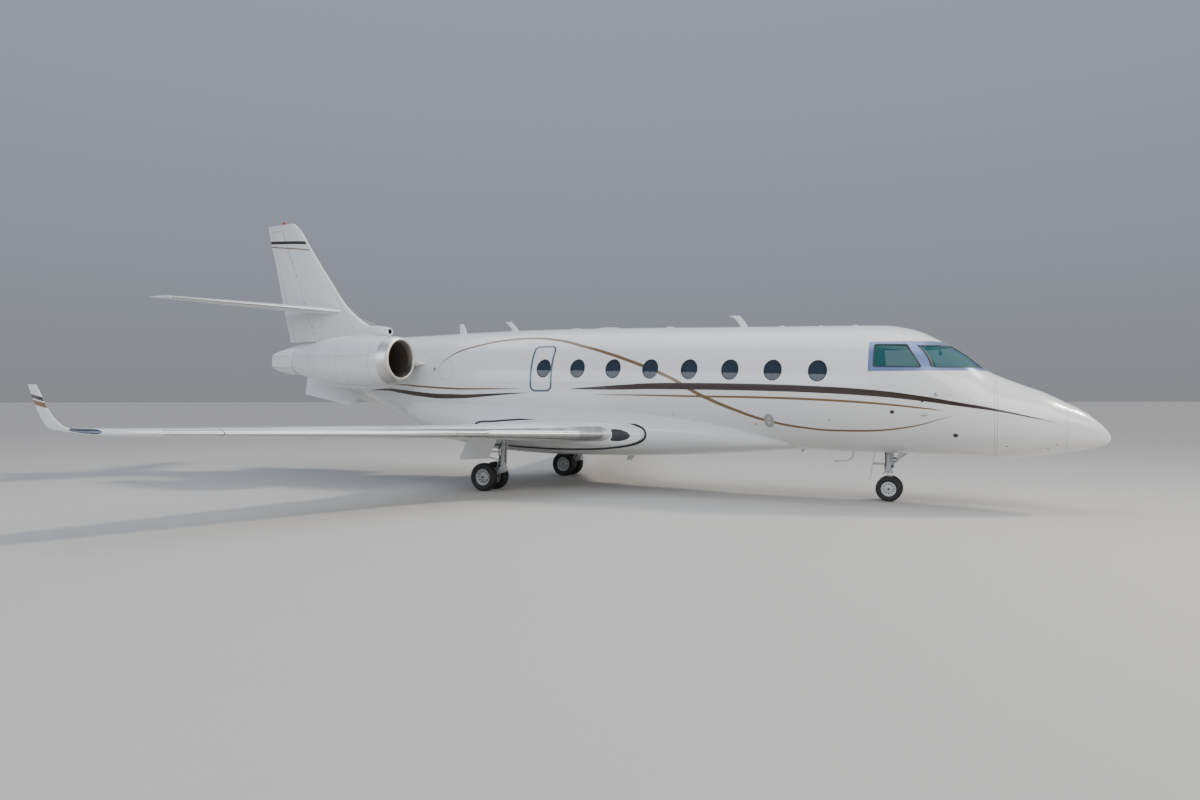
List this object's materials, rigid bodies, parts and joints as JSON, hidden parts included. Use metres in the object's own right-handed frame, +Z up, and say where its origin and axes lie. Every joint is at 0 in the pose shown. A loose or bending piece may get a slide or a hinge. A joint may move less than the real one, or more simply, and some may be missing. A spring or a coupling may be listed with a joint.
{
  "type": "business jet",
  "caption": "Low-wing business jet with rear fuselage engines, cruciform tail, winglets and ventral fins, parked on its gear; doors, control surfaces, fans and wheels move.",
  "frame": {"origin": "on the ground under the middle of the overall length, on the plane of symmetry", "axes": "+X forward to the nose, +Y to port, +Z up"},
  "size_m": [18.97, 17.6986, 6.53],
  "materials": {
    "white_paint": "gloss",
    "polished_metal": "polished",
    "gear_metal": "satin",
    "dark_metal": "satin",
    "tyre": "matte",
    "glass": "gloss",
    "leather": "satin",
    "carpet": "matte",
    "panel_black": "matte"
  },
  "bodies": {
    "airframe": {"fuselage": "white_paint", "overwing_exit": "white_paint", "radome": "white_paint", "aft_fuselage": "white_paint", "belly_fairing": "white_paint", "wing_right": "white_paint", "flap_right": "white_paint", "wing_left": "white_paint", "flap_left": "white_paint", "fin": "white_paint", "tailplane_right": "white_paint", "tailplane_left": "white_paint", "nacelle_right": "white_paint", "reverser_right": "white_paint", "nacelle_left": "white_paint", "reverser_left": "white_paint", "pylon_right": "white_paint", "pylon_left": "white_paint", "ventral_fin_right": "white_paint", "ventral_fin_left": "white_paint", "nose_gear_door": "white_paint", "main_gear_door_right": "white_paint", "main_gear_door_left": "white_paint", "windscreen_right": "glass", "side_window_right": "glass", "windscreen_left": "glass", "side_window_left": "glass", "cabin_seats_right": "leather", "cabin_seats_left": "leather", "cockpit_seats": "leather", "cabin_floor": "carpet", "instrument_panel": "panel_black", "engine_right": "dark_metal", "engine_left": "dark_metal", "nose_strut": "gear_metal", "main_strut_right": "gear_metal", "main_strut_left": "gear_metal"},
    "entry_door": {"entry_door": "white_paint"},
    "baggage_door": {"baggage_door": "white_paint"},
    "aileron_right": {"aileron_right": "white_paint"},
    "aileron_left": {"aileron_left": "white_paint"},
    "rudder": {"rudder": "white_paint"},
    "elevator_right": {"elevator_right": "white_paint"},
    "elevator_left": {"elevator_left": "white_paint"},
    "fan_right": {"fan_right": "polished_metal"},
    "fan_left": {"fan_left": "polished_metal"},
    "nose_steering": {"nose_fork": "gear_metal"},
    "nose_wheel_pair": {"nose_wheels": "gear_metal", "nose_tyre_right": "tyre", "nose_tyre_left": "tyre"},
    "main_wheel_pair_right": {"main_wheels_right": "gear_metal", "main_tyre_right_inner": "tyre", "main_tyre_right_outer": "tyre"},
    "main_wheel_pair_left": {"main_wheels_left": "gear_metal", "main_tyre_left_inner": "tyre", "main_tyre_left_outer": "tyre"}
  },
  "joints": [
    {"name": "entry_door_hinge", "type": "hinge", "parent": "airframe", "child": "entry_door", "pos_m": [5.335, 0.84701, 1.22765], "axis": [-1, -0.0058, 0.0054], "range_deg": [0, 125]},
    {"name": "baggage_door_hinge", "type": "hinge", "parent": "airframe", "child": "baggage_door", "pos_m": [-2.965, 1.06136, 2.64882], "axis": [0.9996, 0.0268, 0.0108], "range_deg": [0, 95]},
    {"name": "aileron_left_hinge", "type": "hinge", "parent": "airframe", "child": "aileron_left", "pos_m": [-2.70153, 7.26448, 1.3695], "axis": [-0.2518, 0.9673, 0.0304], "range_deg": [-20, 20]},
    {"name": "aileron_right_hinge", "type": "hinge", "parent": "airframe", "child": "aileron_right", "pos_m": [-2.70153, -7.26448, 1.3695], "axis": [0.2518, 0.9673, -0.0304], "range_deg": [-20, 20]},
    {"name": "rudder_hinge", "type": "hinge", "parent": "airframe", "child": "rudder", "pos_m": [-8.4, 0, 4.795], "axis": [-0.3741, 0, 0.9274], "range_deg": [-25, 25]},
    {"name": "elevator_left_hinge", "type": "hinge", "parent": "airframe", "child": "elevator_left", "pos_m": [-8.74553, 1.85, 4.14592], "axis": [-0.334, 0.9425, 0.0125], "range_deg": [-20, 15]},
    {"name": "elevator_right_hinge", "type": "hinge", "parent": "airframe", "child": "elevator_right", "pos_m": [-8.74553, -1.85, 4.14592], "axis": [0.334, 0.9425, -0.0125], "range_deg": [-20, 15]},
    {"name": "fan_left_spin", "type": "hinge", "parent": "airframe", "child": "fan_left", "pos_m": [-3.545, 1.75, 2.628], "axis": [0.9997, 0, -0.024], "continuous": true},
    {"name": "fan_right_spin", "type": "hinge", "parent": "airframe", "child": "fan_right", "pos_m": [-3.545, -1.75, 2.628], "axis": [0.9997, 0, -0.024], "continuous": true},
    {"name": "nose_steering_pivot", "type": "hinge", "parent": "airframe", "child": "nose_steering", "pos_m": [6.115, 0, 0.45], "axis": [0, 0, 1], "range_deg": [-60, 60]},
    {"name": "nose_wheel_spin", "type": "hinge", "parent": "nose_steering", "child": "nose_wheel_pair", "pos_m": [6.115, 0, 0.224], "axis": [0, 1, 0], "continuous": true},
    {"name": "main_wheel_left_spin", "type": "hinge", "parent": "airframe", "child": "main_wheel_pair_left", "pos_m": [-1.335, 1.69, 0.28], "axis": [0, 1, 0], "continuous": true},
    {"name": "main_wheel_right_spin", "type": "hinge", "parent": "airframe", "child": "main_wheel_pair_right", "pos_m": [-1.335, -1.69, 0.28], "axis": [0, 1, 0], "continuous": true}
  ],
  "couplings": [
    {"joint": "aileron_right_hinge", "follows": "aileron_left_hinge", "ratio": -1},
    {"joint": "elevator_right_hinge", "follows": "elevator_left_hinge", "ratio": 1}
  ]
}
